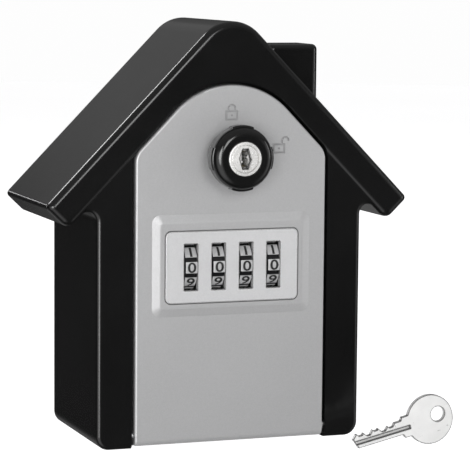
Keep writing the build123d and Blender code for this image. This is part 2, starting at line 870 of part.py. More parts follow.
with BuildPart() as inner_cover:
    with BuildSketch(facing(cover_back)):
        with Locations((0, up((cover_low + cover_step) / 2))):
            Rectangle(2 * cover_half_width, cover_step - cover_low)
    extrude(amount=skin_back - cover_back)
    with BuildSketch(facing(neck_back)):
        with Locations((0, up((cover_step - neck_overlap + cover_top) / 2))):
            Rectangle(2 * neck_half_width, cover_top - cover_step + neck_overlap)
    extrude(amount=skin_back - neck_back)
    fillet(inner_cover.edges().filter_by(Axis.Y), cover_corner_r)
    with BuildSketch(facing(cover_back + cover_wall)):
        with Locations((0, up((cover_low + cover_step) / 2))):
            Rectangle(
                2 * (cover_half_width - cover_wall),
                cover_step - cover_low - 2 * cover_wall,
            )
    extrude(amount=through, mode=Mode.SUBTRACT)
    with BuildSketch(facing(neck_back + cover_wall)):
        with Locations((0, up((cover_step - 2 * neck_overlap + cover_top - cover_wall) / 2))):
            Rectangle(
                2 * (neck_half_width - cover_wall),
                cover_top - cover_wall - cover_step + 2 * neck_overlap,
            )
    extrude(amount=through, mode=Mode.SUBTRACT)
    # ledge above the springs and guides either side of the bar's stem
    for side in (-1, 1):
        with BuildSketch(facing(cover_back + cover_wall - bite)):
            with Locations((side * ledge_x, up(ledge_low + ledge_thickness / 2))):
                Rectangle(ledge_width, ledge_thickness)
        extrude(amount=ledge_front - cover_back - cover_wall)
    # lock barrel, reset slot and screw holes
    with BuildSketch(facing(cover_back - bite)):
        with Locations((0, up(knob_height))):
            Circle(barrel_lock_r + clear)
        with Locations(((slot_left + slot_right) / 2, up(slider_height))):
            SlotOverall(slot_right - slot_left, 2 * slot_half_height)
    extrude(amount=through, mode=Mode.SUBTRACT)
    for points, back in ((low_post_points, cover_back), (high_post_points, neck_back)):
        with Locations(from_behind(back)):
            with Locations(*points):
                CounterSinkHole(
                    radius=cover_hole_r,
                    counter_sink_radius=cover_sink_r,
                    depth=cover_wall,
                )

cover_screw_r = 0.85
cover_screw_length = 5.2
cover_head_r = 2.0
cover_head_depth = 1.1
cover_cross_length = 2.4
cover_cross_width = 0.5
cover_cross_depth = 0.6
with BuildPart() as cover_screws:
    for points, back in ((low_post_points, cover_back), (high_post_points, neck_back)):
        with BuildSketch(facing(back + running)):
            with Locations(*points):
                Circle(cover_head_r)
        extrude(amount=cover_head_depth, taper=screw_head_angle)
        with BuildSketch(facing(back + running)):
            with Locations(*points):
                Circle(cover_screw_r)
        extrude(amount=cover_screw_length)
        with BuildSketch(facing(back)):
            with Locations(*points):
                Rectangle(cover_cross_length, cover_cross_width)
                Rectangle(cover_cross_width, cover_cross_length)
        extrude(amount=cover_cross_depth, mode=Mode.SUBTRACT)

# Code-reset slider: plate inside the cover, finger grip outside.
slider_start = -2.8
slider_play = 0.15
slider_width = 9.0
slider_plate_height = 5.6
slider_thickness = 0.9
grip_side = 2.8
grip_back = 34.4
grip_edge_r = 0.4
slider_back = cover_back + cover_wall + slider_play
with BuildPart() as reset_slider:
    with BuildSketch(facing(slider_back)):
        with Locations((slider_start, up(slider_height))):
            Rectangle(slider_width, slider_plate_height)
    extrude(amount=slider_thickness)
    with BuildSketch(facing(grip_back)):
        with Locations((slider_start, up(slider_height))):
            Rectangle(grip_side, grip_side)
    extrude(amount=slider_back - grip_back + bite)
    fillet(reset_slider.faces().sort_by(Axis.Y)[-1].edges(), grip_edge_r)

# ============================================================== knob (turns)

pad_width = 7.8
pad_back = 61.6
pad_front = 66.2
pad_edge_r = 0.9
nose_r = 3.4  # rounded front rim of the knob
bore_chamfer = 0.4

with BuildPart() as grip_pads:
    with BuildSketch(facing(pad_back)):
        with Locations((0, up(knob_height))):
            Circle(knob_pad_r)
    extrude(amount=pad_front - pad_back)
    fillet(grip_pads.edges().filter_by(GeomType.CIRCLE), pad_edge_r)
    with BuildSketch(facing(pad_back - bite)):
        with Locations((0, up(knob_height))):
            Rectangle(3 * knob_pad_r, pad_width)
            Rectangle(pad_width, 3 * knob_pad_r)
    extrude(amount=through, mode=Mode.INTERSECT)

with BuildPart() as knob_shell:
    with BuildSketch(Plane.YZ):
        with BuildLine():
            profile = Polyline(
                (-knob_front, up(knob_height)),
                (-knob_back, up(knob_height)),
                (-knob_back, up(knob_height + knob_base_r)),
                (-pad_back, up(knob_height + knob_r)),
                (-knob_front + nose_r, up(knob_height + knob_r)),
            )
            nose = RadiusArc(profile @ 1, (-knob_front, up(knob_height + knob_r - nose_r)), -nose_r)
            Line(nose @ 1, profile @ 0)
        make_face()
    revolve(axis=Axis((0, 0, up(knob_height)), (0, 1, 0)))
    add(grip_pads.part)
    with BuildSketch(facing(knob_back - bite)):
        with Locations((0, up(knob_height))):
            Circle(barrel_lock_r)
    extrude(amount=through, mode=Mode.SUBTRACT)
    chamfer(
        knob_shell.faces().sort_by(Axis.Y)[0].edges().filter_by(
            lambda e: e.geom_type == GeomType.CIRCLE and e.radius < barrel_lock_r + 0.1
        ),
        bore_chamfer,
    )

# Lock barrel: fixed in the knob, runs in the bushing, carries the collar.
plug_bore_r = 5.0
bore_wall = barrel_lock_r - plug_bore_r
lock_edge_r = 0.35
plug_back = 47.7
tail_r = 3.45
collar_back = 47.3
collar_front = 50.1
collar_pin_r = 0.8
collar_pin_reach = (collar_back + collar_front) / 2

with BuildPart(mode=Mode.PRIVATE) as pin_hole:
    with BuildSketch(across(plug_bore_r - bore_wall)):
        with Locations((-collar_pin_reach, up(knob_height))):
            Circle(collar_pin_r)
    extrude(amount=collar_r)

with BuildPart() as lock_barrel:
    with BuildSketch(facing(lock_back)):
        with Locations((0, up(knob_height))):
            Circle(barrel_lock_r)
    extrude(amount=lock_front - lock_back)
    fillet(lock_barrel.edges().filter_by(GeomType.CIRCLE).sort_by(Axis.Y)[0], lock_edge_r)
    with BuildSketch(facing(plug_back - bite)):
        with Locations((0, up(knob_height))):
            Circle(plug_bore_r)
    extrude(amount=through, mode=Mode.SUBTRACT)
    with BuildSketch(facing(lock_back - bite)):
        with Locations((0, up(knob_height))):
            Circle(tail_r + running)
    extrude(amount=through, mode=Mode.SUBTRACT)
    add(pin_hole.part, mode=Mode.SUBTRACT)

notch_play = 1.0
notch_width = 2 * stem_half_width + notch_play
notch_depth = 2.4
with BuildPart() as blocking_collar:
    with BuildSketch(facing(collar_back)):
        with Locations((0, up(knob_height))):
            Circle(collar_r)
            Circle(barrel_lock_r, mode=Mode.SUBTRACT)
        with Locations((0, up(knob_height - collar_r))):
            Rectangle(notch_width, 2 * notch_depth, mode=Mode.SUBTRACT)
        with Locations((-collar_r, up(knob_height))):
            Rectangle(2 * notch_depth, notch_width, mode=Mode.SUBTRACT)
    extrude(amount=collar_front - collar_back)
    add(pin_hole.part, mode=Mode.SUBTRACT)

pin_inset = 0.25
with BuildPart() as collar_pin:
    with BuildSketch(across(plug_bore_r + pin_inset)):
        with Locations((-collar_pin_reach, up(knob_height))):
            Circle(collar_pin_r)
    extrude(amount=collar_r - plug_bore_r - 2 * pin_inset)

# ============================================================== key plug (turns)

plug_front = 68.55
tongue_front = 45.2
tongue_back = 43.2
square_half = 2.7
stub_back = 40.5
stub_r = 2.0
keyway_width = 2.0
keyway_height = 5.7
keyway_back = 49.5
mouth_width = 4.6
mouth_height = 7.2
mouth_depth = 1.0
mouth_end = 1.1  # half width of the mouth at its top and bottom
mouth_skew = 0.3
plug_edge_r = 0.3
ward_width = 0.8
ward_height = 0.9
wards = ((keyway_width / 2, 0.6), (-keyway_width / 2, -1.0))
wafer_pitch = 3.0
wafer_reaches = [64.0 - wafer_pitch * i for i in range(5)]
wafer_thickness = 0.9
wafer_play = 0.1
wafer_hole_width = 2.7
wafer_hole_height = 4.6
wafer_width = 6.0
wafer_height = 7.8

with BuildPart() as lock_plug:
    with BuildSketch(facing(plug_back)):
        with Locations((0, up(knob_height))):
            Circle(plug_r)
    extrude(amount=plug_front - plug_back)
    fillet(lock_plug.edges().filter_by(GeomType.CIRCLE).sort_by(Axis.Y)[0], plug_edge_r)
    with BuildSketch(facing(tongue_front + bite)):
        with Locations((0, up(knob_height))):
            Circle(tail_r)
    extrude(amount=plug_back - tongue_front)
    with BuildSketch(facing(tongue_back)):
        with Locations((0, up(knob_height))):
            Rectangle(2 * square_half, 2 * square_half)
            Circle(tail_r, mode=Mode.INTERSECT)
    extrude(amount=tongue_front - tongue_back + clear)
    with BuildSketch(facing(stub_back)):
        with Locations((0, up(knob_height))):
            Circle(stub_r)
    extrude(amount=tongue_back - stub_back + bite)
    # keyway: six-sided mouth, then a warded slot
    with BuildSketch(facing(plug_front - mouth_depth)):
        with BuildLine(Plane((0, up(knob_height)))):
            Polyline(
                (-mouth_width / 2, mouth_skew),
                (-mouth_end, -mouth_height / 2),
                (mouth_end, -mouth_height / 2),
                (mouth_width / 2, -mouth_skew),
                (mouth_end, mouth_height / 2),
                (-mouth_end, mouth_height / 2),
                close=True,
            )
        make_face()
    extrude(amount=through, mode=Mode.SUBTRACT)
    with BuildSketch(facing(keyway_back)):
        with Locations((0, up(knob_height))):
            Rectangle(keyway_width, keyway_height)
        with Locations(*[(x, up(knob_height + z)) for x, z in wards]):
            Rectangle(ward_width, ward_height, mode=Mode.SUBTRACT)
    extrude(amount=through, mode=Mode.SUBTRACT)
    for reach in wafer_reaches:
        with BuildSketch(facing(reach - wafer_play)):
            with Locations((0, up(knob_height))):
                Rectangle(wafer_width + 2 * wafer_play, 2 * plug_r)
        extrude(amount=wafer_thickness + 2 * wafer_play, mode=Mode.SUBTRACT)

with BuildPart() as plug_wafers:
    for reach in wafer_reaches:
        with BuildSketch(facing(reach)) as wafer_outline:
            with Locations((0, up(knob_height))):
                Rectangle(wafer_width, wafer_height)
                Rectangle(wafer_hole_width, wafer_hole_height, mode=Mode.SUBTRACT)
        extrude(amount=wafer_thickness)

tongue_hub_r = 6.5
tongue_chamfer = 0.4
with BuildPart() as latch_tongue:
    with BuildSketch(facing(tongue_back)):
        with Locations((0, up(knob_height))):
            Circle(tongue_hub_r)
        with Locations(((tongue_length - tongue_width / 2) / 2, up(knob_height))):
            Rectangle(tongue_length - tongue_width / 2, tongue_width)
        with Locations((tongue_length - tongue_width / 2, up(knob_height))):
            Circle(tongue_width / 2)
    extrude(amount=tongue_front - tongue_back)
    with BuildSketch(facing(tongue_back - bite)):
        with Locations((0, up(knob_height))):
            Rectangle(2 * square_half, 2 * square_half)
            Circle(tail_r, mode=Mode.INTERSECT)
    extrude(amount=through, mode=Mode.SUBTRACT)
    chamfer(latch_tongue.faces().sort_by(Axis.Y)[0].outer_wire().edges(), tongue_chamfer)

nut_r = 4.2
with BuildPart() as tongue_nut:
    with BuildSketch(facing(stub_back + clear)):
        with Locations((0, up(knob_height))):
            RegularPolygon(nut_r, 6)
            Circle(stub_r, mode=Mode.SUBTRACT)
    extrude(amount=tongue_back - stub_back - clear)

# ============================================================== override key

key_bow_r = 9.0
key_length = 39.4
key_thickness = 1.7
key_blade_half = 2.6
key_tip_slope = 1.6
key_neck_start = -10.6
key_neck_end = -11.2
key_neck_top = key_blade_half + 1.2
key_neck_bottom = -key_blade_half - 1.4
key_hole = (3.3, 1.1)
key_hole_r = 2.7
key_tilt = 12.9
key_bow_x = 68.1
key_reach = 77.0
key_floor_gap = 0.02
key_plane = Plane(
    origin=(key_bow_x, -(key_reach - key_thickness / 2), up(key_bow_r + key_floor_gap)),
    x_dir=(cos(radians(key_tilt)), 0, sin(radians(key_tilt))),
    z_dir=(0, -1, 0),
)
key_tip = key_bow_r - key_length
cut_depths = (0.9, 1.6, 0.7, 1.8, 1.2)
cut_pitch = 3.0
cut_width = 1.3
first_cut = key_tip + 3.2
cut_rise = 0.4  # the cuts start this far above the blade
key_groove_width = 1.3
key_groove_depth = 0.45
key_groove_end = -8.0
key_groove_drop = -0.5

with BuildPart() as override_key:
    with BuildSketch(key_plane):
        Circle(key_bow_r)
        with BuildLine():
            Polyline(
                (0, key_neck_top),
                (key_neck_start, key_neck_top),
                (key_neck_end, key_blade_half),
                (key_tip + key_tip_slope, key_blade_half),
                (key_tip, key_blade_half - key_tip_slope),
                (key_tip + key_tip_slope, -key_blade_half),
                (key_neck_end, -key_blade_half),
                (key_neck_start, key_neck_bottom),
                (0, key_neck_bottom),
                close=True,
            )
        make_face()
        with Locations(key_hole):
            Circle(key_hole_r, mode=Mode.SUBTRACT)
    extrude(amount=key_thickness)
    for i, cut in enumerate(cut_depths):
        with BuildSketch(key_plane):
            with BuildLine(Plane((first_cut + i * cut_pitch, key_blade_half))):
                Polyline(
                    (-cut_width / 2 - cut, cut_rise),
                    (-cut_width / 2, -cut),
                    (cut_width / 2, -cut),
                    (cut_width / 2 + cut, cut_rise),
                    close=True,
                )
            make_face()
        extrude(amount=key_thickness, mode=Mode.SUBTRACT)
    for level in (0, key_thickness - key_groove_depth):
        with BuildSketch(key_plane.offset(level)):
            with Locations(((key_tip + key_groove_end) / 2, key_groove_drop)):
                Rectangle(key_groove_end - key_tip, key_groove_width)
        extrude(amount=key_groove_depth, mode=Mode.SUBTRACT)

# ============================================================== files

pieces = {
    "case_shell": finished_case,
    "back_plate": back_plate,
    "back_plate_screws": back_plate_screws,
    "door_gasket": door_gasket,
    "hinge_pins": hinge_pins,
    "strike_plate": strike_plate,
    "strike_screws": strike_screws,
    "door_panel": marked_door,
    "dial_bezel": dial_bezel,
    "stud_push_nuts": stud_push_nuts,
    "knob_bushing": knob_bushing,
    "wheel_cage": wheel_cage,
    "wheel_shaft": wheel_shaft,
    "shaft_clips": shaft_clips,
    "detent_springs": detent_springs,
    "bar_springs": bar_springs,
    "inner_cover": inner_cover,
    "cover_screws": cover_screws,
    "locking_bar": locking_bar,
    "reset_slider": reset_slider,
    "knob_shell": knob_shell,
    "lock_barrel": lock_barrel,
    "blocking_collar": blocking_collar,
    "collar_pin": collar_pin,
    "lock_plug": lock_plug,
    "plug_wafers": plug_wafers,
    "latch_tongue": latch_tongue,
    "tongue_nut": tongue_nut,
    "override_key": override_key,
}
for number, (wheel, disc) in enumerate(zip(wheels, discs), start=1):
    pieces[f"dial_wheel_{number}"] = wheel
    pieces[f"code_disc_{number}"] = disc

os.makedirs("parts", exist_ok=True)
for name, piece in pieces.items():
    piece.part.label = name
    export_step(piece.part, f"parts/{name}.step")
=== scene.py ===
from math import cos, radians, sin, tau

import bmesh
import bpy
from mathutils import Matrix, Vector


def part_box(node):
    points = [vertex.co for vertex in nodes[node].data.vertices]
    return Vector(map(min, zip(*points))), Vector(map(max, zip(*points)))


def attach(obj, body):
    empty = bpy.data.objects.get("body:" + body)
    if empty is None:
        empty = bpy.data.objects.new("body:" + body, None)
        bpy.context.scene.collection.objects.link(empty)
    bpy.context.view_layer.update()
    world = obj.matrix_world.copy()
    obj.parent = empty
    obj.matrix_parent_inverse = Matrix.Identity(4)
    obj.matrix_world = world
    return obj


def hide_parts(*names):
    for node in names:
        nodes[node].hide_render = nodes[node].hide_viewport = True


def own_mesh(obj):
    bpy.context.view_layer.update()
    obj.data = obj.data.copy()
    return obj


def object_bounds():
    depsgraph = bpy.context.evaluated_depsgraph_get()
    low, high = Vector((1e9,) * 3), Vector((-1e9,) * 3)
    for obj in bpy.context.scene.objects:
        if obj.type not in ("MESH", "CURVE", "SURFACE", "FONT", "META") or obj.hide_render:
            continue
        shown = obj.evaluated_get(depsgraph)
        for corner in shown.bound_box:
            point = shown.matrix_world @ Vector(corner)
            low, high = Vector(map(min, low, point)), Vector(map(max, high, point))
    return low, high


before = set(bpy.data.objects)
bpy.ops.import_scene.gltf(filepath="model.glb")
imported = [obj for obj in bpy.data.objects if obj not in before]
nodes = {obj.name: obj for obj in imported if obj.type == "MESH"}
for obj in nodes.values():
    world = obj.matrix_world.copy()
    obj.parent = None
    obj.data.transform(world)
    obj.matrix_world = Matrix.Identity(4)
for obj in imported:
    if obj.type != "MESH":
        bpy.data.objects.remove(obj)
cad_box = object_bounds()
scene = bpy.context.scene
MM = 0.001

# ------------------------------------------------------------------ shader helpers
# Everything is in metres, so a noise of scale 1000 has features of about 1 mm.


class Shader:
    """A procedural material around one Principled shader, mapped in the CAD's own frame."""

    def __init__(self, name, **constants):
        self.material = bpy.data.materials.new(name)
        self.material.use_nodes = True
        self.tree = self.material.node_tree
        self.tree.nodes.clear()
        output = self.tree.nodes.new("ShaderNodeOutputMaterial")
        self.bsdf = self.tree.nodes.new("ShaderNodeBsdfPrincipled")
        self.link(self.bsdf.outputs[0], output.inputs[0])
        self.place = self.tree.nodes.new("ShaderNodeTexCoord").outputs["Object"]
        for key, value in constants.items():
            self.bsdf.inputs[key.replace("_", " ")].default_value = value
        self.normal = None

    def link(self, source, target):
        self.tree.links.new(source, target)

    def node(self, kind, **settings):
        made = self.tree.nodes.new("ShaderNode" + kind)
        for key, value in settings.items():
            setattr(made, key, value)
        return made

    def stretched(self, scale):
        """The place on the part, scaled by a different factor along each axis."""
        mapping = self.node("Mapping")
        mapping.inputs["Scale"].default_value = scale
        self.link(self.place, mapping.inputs["Vector"])
        return mapping.outputs[0]

    def noise(self, scale, detail=3.0, rough=0.5, vector=None):
        made = self.node("TexNoise")
        made.inputs["Scale"].default_value = scale
        made.inputs["Detail"].default_value = detail
        made.inputs["Roughness"].default_value = rough
        self.link(vector or self.place, made.inputs["Vector"])
        return made.outputs["Fac"]

    def cells(self, scale):
        """A random colour for each cell of a Voronoi pattern."""
        made = self.node("TexVoronoi")
        made.inputs["Scale"].default_value = scale
        self.link(self.place, made.inputs["Vector"])
        return made.outputs["Color"]

    def remap(self, value, low, high, start=0.3, end=0.7):
        """Low at start and high at end, clamped; the defaults spread out a noise."""
        made = self.node("MapRange")
        made.inputs["From Min"].default_value = start
        made.inputs["From Max"].default_value = end
        made.inputs["To Min"].default_value = low
        made.inputs["To Max"].default_value = high
        self.link(value, made.inputs["Value"])
        return made.outputs[0]

    def spread_noise(self, low, high, **settings):
        """A noise between two levels."""
        return self.remap(self.noise(**settings), low, high)

    def math(self, operation, a, b):
        made = self.node("Math", operation=operation)
        for socket, value in zip(made.inputs, (a, b)):
            if isinstance(value, (int, float)):
                socket.default_value = value
            else:
                self.link(value, socket)
        return made.outputs[0]

    def mix(self, factor, first, second):
        made = self.node("Mix", data_type="RGBA")
        self.link(factor, made.inputs[0])
        for socket, value in ((made.inputs[6], first), (made.inputs[7], second)):
            if isinstance(value, tuple):
                socket.default_value = (*value, 1)
            else:
                self.link(value, socket)
        return made.outputs[2]

    def edges(self, reach):
        """1 along sharp edges and 0 on flat faces, from how far a rounded normal turns."""
        soft = self.node("Bevel", samples=6)
        soft.inputs["Radius"].default_value = reach
        true = self.node("NewGeometry").outputs["Normal"]
        turn = self.node("VectorMath", operation="DOT_PRODUCT")
        self.link(soft.outputs[0], turn.inputs[0])
        self.link(true, turn.inputs[1])
        return self.remap(turn.outputs["Value"], 0, 1, start=0.998, end=0.93)

    def hollows(self, reach, start, end):
        """1 in narrow grooves and holes and 0 on open faces, from how closed in they are."""
        closed = self.node("AmbientOcclusion", samples=8, only_local=True)
        closed.inputs["Distance"].default_value = reach
        return self.remap(closed.outputs["AO"], 0, 1, start, end)

    def colour(self, value):
        self.link(value, self.bsdf.inputs["Base Color"])

    def rough(self, value):
        self.link(value, self.bsdf.inputs["Roughness"])

    def bump(self, height, strength, depth):
        """Adds one more layer of relief on top of the ones before."""
        made = self.node("Bump")
        made.inputs["Strength"].default_value = strength
        made.inputs["Distance"].default_value = depth
        self.link(height, made.inputs["Height"])
        if self.normal:
            self.link(self.normal, made.inputs["Normal"])
        self.normal = made.outputs[0]
        self.link(self.normal, self.bsdf.inputs["Normal"])


def grey(level):
    """A neutral tone, very slightly cool."""
    return (level, level, level * 1.01)


def tinted(level, tint):
    return tuple(min(1.0, level * t) for t in tint)


# ------------------------------------------------------------------ materials


def moulded(name, tones, rough, grain=1500, grain_depth=0.03 * MM):
    """Injection-moulded plastic: slow tone drift, eroded grain, roughness that varies."""
    s = Shader(name, IOR=1.46)
    dark, light = tones
    s.colour(s.mix(s.spread_noise(0, 1, scale=18, detail=4), grey(dark), grey(light)))
    s.rough(s.spread_noise(*rough, scale=60, detail=5, rough=0.6))
    s.bump(s.noise(scale=28, detail=2), strength=0.12, depth=0.3 * MM)
    s.bump(s.noise(scale=grain, detail=2), strength=0.35, depth=grain_depth)
    return s.material


def flake_paint(name, tone, metallic, rough, hollow_darkening_reach=0.0, edge_reach=0.0):
    """Sprayed metallic paint: fine flakes, orange peel, a slow tone drift and, if asked,
    darker narrow grooves and holes and painted shade along edges."""
    s = Shader(name, Metallic=metallic, IOR=1.5, Coat_Weight=0.15, Coat_Roughness=0.25)
    drift = s.spread_noise(0, 1, scale=14, detail=3)
    ground = s.mix(drift, grey(tone * 0.97), grey(tone * 1.03))
    flakes = s.node("SeparateColor")
    s.link(s.cells(scale=3800), flakes.inputs[0])
    sparkle = s.math("MULTIPLY", flakes.outputs[0], 0.16)
    body = s.mix(sparkle, ground, grey(min(1.0, tone * 1.5)))
    if hollow_darkening_reach:
        # Darkens narrow grooves and holes towards 0.8 of the tone.
        hollow_darkening = s.hollows(hollow_darkening_reach, start=0.97, end=0.75)
        body = s.mix(hollow_darkening, body, grey(tone * 0.8))
    if edge_reach:
        # Painted shade: the edges are darkened to a tenth of the tone, as a dark outline along
        # the gaps.
        body = s.mix(s.edges(edge_reach), body, grey(tone * 0.1))
    s.colour(body)
    s.rough(s.remap(flakes.outputs[1], *rough, start=0, end=1))
    s.bump(s.noise(scale=320, detail=2), strength=0.12, depth=0.08 * MM)
    s.bump(s.noise(scale=2600, detail=2), strength=0.15, depth=0.02 * MM)
    return s.material


def brushed(name, tone, tint, direction, rough=(0.22, 0.42), lines=900):
    """Drawn or brushed metal: streaks along one direction with small tone changes."""
    s = Shader(name, Metallic=1.0)
    streak_length = 40  # in widths
    scale = [lines / streak_length if axis == direction else lines for axis in "xyz"]
    streaks = s.noise(scale=1, detail=4, rough=0.65, vector=s.stretched(scale))
    dark, light = tinted(tone * 0.86, tint), tinted(tone * 1.08, tint)
    s.colour(s.mix(s.remap(streaks, 0, 1), dark, light))
    s.rough(s.spread_noise(*rough, scale=120, detail=4))
    s.bump(streaks, strength=0.2, depth=0.03 * MM)
    return s.material


def plated(name, tone, tint, rough, metallic=1.0, edge_reach=0.0):
    """Plated metal: soft cloudiness, pin-prick pores and, if asked, edges and grooves painted
    nearly black as shade.
    """
    s = Shader(name, Metallic=metallic)
    cloud = s.spread_noise(0, 1, scale=90, detail=4)
    body = s.mix(cloud, tinted(tone * 0.9, tint), tinted(tone * 1.06, tint))
    if edge_reach:
        # Painted shade: edges, and the grooves and gaps beside them, are darkened nearly black
        # as outlines and hollows in shade.
        body = s.mix(s.edges(edge_reach), body, tinted(tone * 0.06, tint))
        hollow_darkening = s.hollows(edge_reach * 2, start=0.97, end=0.65)
        body = s.mix(hollow_darkening, body, tinted(tone * 0.04, tint))
    s.colour(body)
    s.rough(s.spread_noise(*rough, scale=420, detail=5, rough=0.7))
    s.bump(s.noise(scale=1600, detail=3, rough=0.7), strength=0.12, depth=0.02 * MM)
    return s.material


case_black = moulded(
    "case_black_plastic", tones=(0.0026, 0.0044), rough=(0.15, 0.22), grain_depth=0.01 * MM
)
knob_black = moulded(
    "knob_gloss_black",
    tones=(0.003, 0.005),
    rough=(0.10, 0.18),
    grain=2600,
    grain_depth=0.005 * MM,
)
nylon_black = moulded("nylon_dark", tones=(0.020, 0.032), rough=(0.45, 0.60))
plate_black = moulded(
    "powder_coat_black",
    tones=(0.018, 0.028),
    rough=(0.42, 0.58),
    grain=900,
    grain_depth=0.08 * MM,
)
gasket_rubber = moulded(
    "gasket_rubber",
    tones=(0.012, 0.018),
    rough=(0.65, 0.85),
    grain=1200,
    grain_depth=0.05 * MM,
)
door_silver = flake_paint(
    "door_silver_paint", tone=0.42, metallic=0.50, rough=(0.38, 0.50), hollow_darkening_reach=0.6 * MM
)
# Its edges carry painted shade.
bezel_silver = flake_paint(
    "bezel_silver_satin", tone=0.66, metallic=0.50, rough=(0.30, 0.44), edge_reach=0.6 * MM
)
cage_zinc = flake_paint("zinc_die_cast", tone=0.36, metallic=0.80, rough=(0.42, 0.62))
steel = brushed("zinc_plated_steel", tone=0.62, tint=(1, 1, 1.01), direction="z")
strike_steel = brushed("brushed_steel_plate", tone=0.58, tint=(1, 1, 1), direction="x")
spring_steel = brushed(
    "spring_steel", tone=0.45, tint=(1, 0.99, 0.96), direction="x", rough=(0.3, 0.5), lines=500
)

NICKEL_TINT = (1, 0.99, 0.97)
KEY_TINT = (1, 0.998, 0.99)
nickel = plated("satin_nickel", 0.80, NICKEL_TINT, rough=(0.20, 0.34), metallic=0.45)
# The key and the plug get painted shade on their edges and in their grooves.
key_nickel = plated(
    "key_nickel", 0.88, KEY_TINT, rough=(0.26, 0.40), metallic=0.35, edge_reach=0.7 * MM
)
plug_nickel = plated(
    "plug_nickel", 0.80, NICKEL_TINT, rough=(0.20, 0.34), metallic=0.45, edge_reach=0.5 * MM
)
# Painted shade: a dark tone for the key's rounded edge faces, as if they were in shade.
key_edge = plated("key_edge_painted_shade", 0.10, KEY_TINT, rough=(0.30, 0.50), metallic=0.35)
brass = plated("stamped_brass", 0.72, (1, 0.80, 0.42), rough=(0.24, 0.42))
wafer_brass = plated("wafer_brass_in_graphite", 0.10, (1, 0.86, 0.6), rough=(0.40, 0.60))

WHEELS = range(1, 5)
GROOVE_R = 8.62 * MM
PAD_R = 8.82 * MM


def wheel_material():
    """Dark paint on the sides and in the grooves of the rim, silver on its raised pads."""
    lo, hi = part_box("dial_wheel_1")
    axis_y, axis_z = (lo.y + hi.y) / 2, (lo.z + hi.z) / 2
    s = Shader("wheel_silver_and_dark", Metallic=0.55)
    parts = s.node("SeparateXYZ")
    s.link(s.place, parts.inputs[0])
    across = s.math("SUBTRACT", parts.outputs[1], axis_y)
    upward = s.math("SUBTRACT", parts.outputs[2], axis_z)
    across_squared = s.math("MULTIPLY", across, across)
    upward_squared = s.math("MULTIPLY", upward, upward)
    radius = s.math("SQRT", s.math("ADD", across_squared, upward_squared), 0.0)
    raised = s.remap(radius, 0, 1, start=GROOVE_R, end=PAD_R)
    silver = s.mix(s.spread_noise(0, 1, scale=700, detail=3), grey(0.52), grey(0.62))
    s.colour(s.mix(raised, (0.010, 0.010, 0.011), silver))
    s.rough(s.spread_noise(0.28, 0.42, scale=400, detail=3))
    s.bump(s.noise(scale=1800, detail=2), strength=0.15, depth=0.02 * MM)
    return s.material


def print_material():
    """Matt black ink that covers unevenly."""
    s = Shader("digit_ink")
    s.colour(s.mix(s.spread_noise(0, 1, scale=2200, detail=3), grey(0.006), grey(0.016)))
    s.rough(s.spread_noise(0.35, 0.55, scale=900, detail=3))
    s.bump(s.noise(scale=3000, detail=2), strength=0.2, depth=0.01 * MM)
    return s.material


wheel_silver = wheel_material()
digit_ink = print_material()

looks = {
    "case_shell": case_black,
    "back_plate": plate_black,
    "back_plate_screws": steel,
    "door_gasket": gasket_rubber,
    "hinge_pins": steel,
    "strike_plate": strike_steel,
    "strike_screws": steel,
    "door_panel": door_silver,
    "dial_bezel": bezel_silver,
    "stud_push_nuts": spring_steel,
    "knob_bushing": nylon_black,
    "wheel_cage": cage_zinc,
    "wheel_shaft": steel,
    "shaft_clips": spring_steel,
    "detent_springs": spring_steel,
    "bar_springs": spring_steel,
    "inner_cover": nylon_black,
    "cover_screws": steel,
    "locking_bar": strike_steel,
    "reset_slider": bezel_silver,
    "knob_shell": knob_black,
    "lock_barrel": nickel,
    "blocking_collar": cage_zinc,
    "collar_pin": spring_steel,
    "lock_plug": plug_nickel,
    "plug_wafers": wafer_brass,
    "latch_tongue": strike_steel,
    "tongue_nut": steel,
    "override_key": key_nickel,
}
for number in WHEELS:
    looks[f"dial_wheel_{number}"] = wheel_silver
    looks[f"code_disc_{number}"] = brass
for name, material in looks.items():
    mesh = nodes[name].data
    if not mesh.materials:
        mesh.materials.append(material)
    for index in range(len(mesh.materials)):
        mesh.materials[index] = material


def mesh_object(name, shape, *materials):
    """Turns a bmesh into an object of the scene, and frees it."""
    mesh = bpy.data.meshes.new(name)
    shape.to_mesh(mesh)
    shape.free()
    for material in materials:
        mesh.materials.append(material)
    made = bpy.data.objects.new(name, mesh)
    scene.collection.objects.link(made)
    return made


# ------------------------------------------------------------------ wheel digits
PLACES = 10
DIGIT_SIZE = 5.106 * MM  # of the font; its digits come out 3.7 mm tall
DIGIT_STRETCH = 1.28  # wider than the font's own
DIGIT_WEIGHT = 0.09 * MM
DIGIT_LIFT = 0.03 * MM
DIGIT_CUTS = 16  # the flat digit is cut this often so that it bends round the wheel
FONT_STEPS = 6


def flat_digit(digit):
    """One digit as a flat sheet in the xy plane."""
    text = bpy.data.curves.new("digit", "FONT")
    text.body = str(digit)
    text.size = DIGIT_SIZE
    text.align_x = "CENTER"
    text.align_y = "CENTER"
    text.resolution_u = FONT_STEPS
    text.offset = DIGIT_WEIGHT
    holder = bpy.data.objects.new("digit", text)
    scene.collection.objects.link(holder)
    bpy.context.view_layer.update()
    flat = bpy.data.meshes.new_from_object(holder)
    bpy.data.objects.remove(holder)
    sheet = bmesh.new()
    sheet.from_mesh(flat)
    bpy.data.meshes.remove(flat)
    return sheet


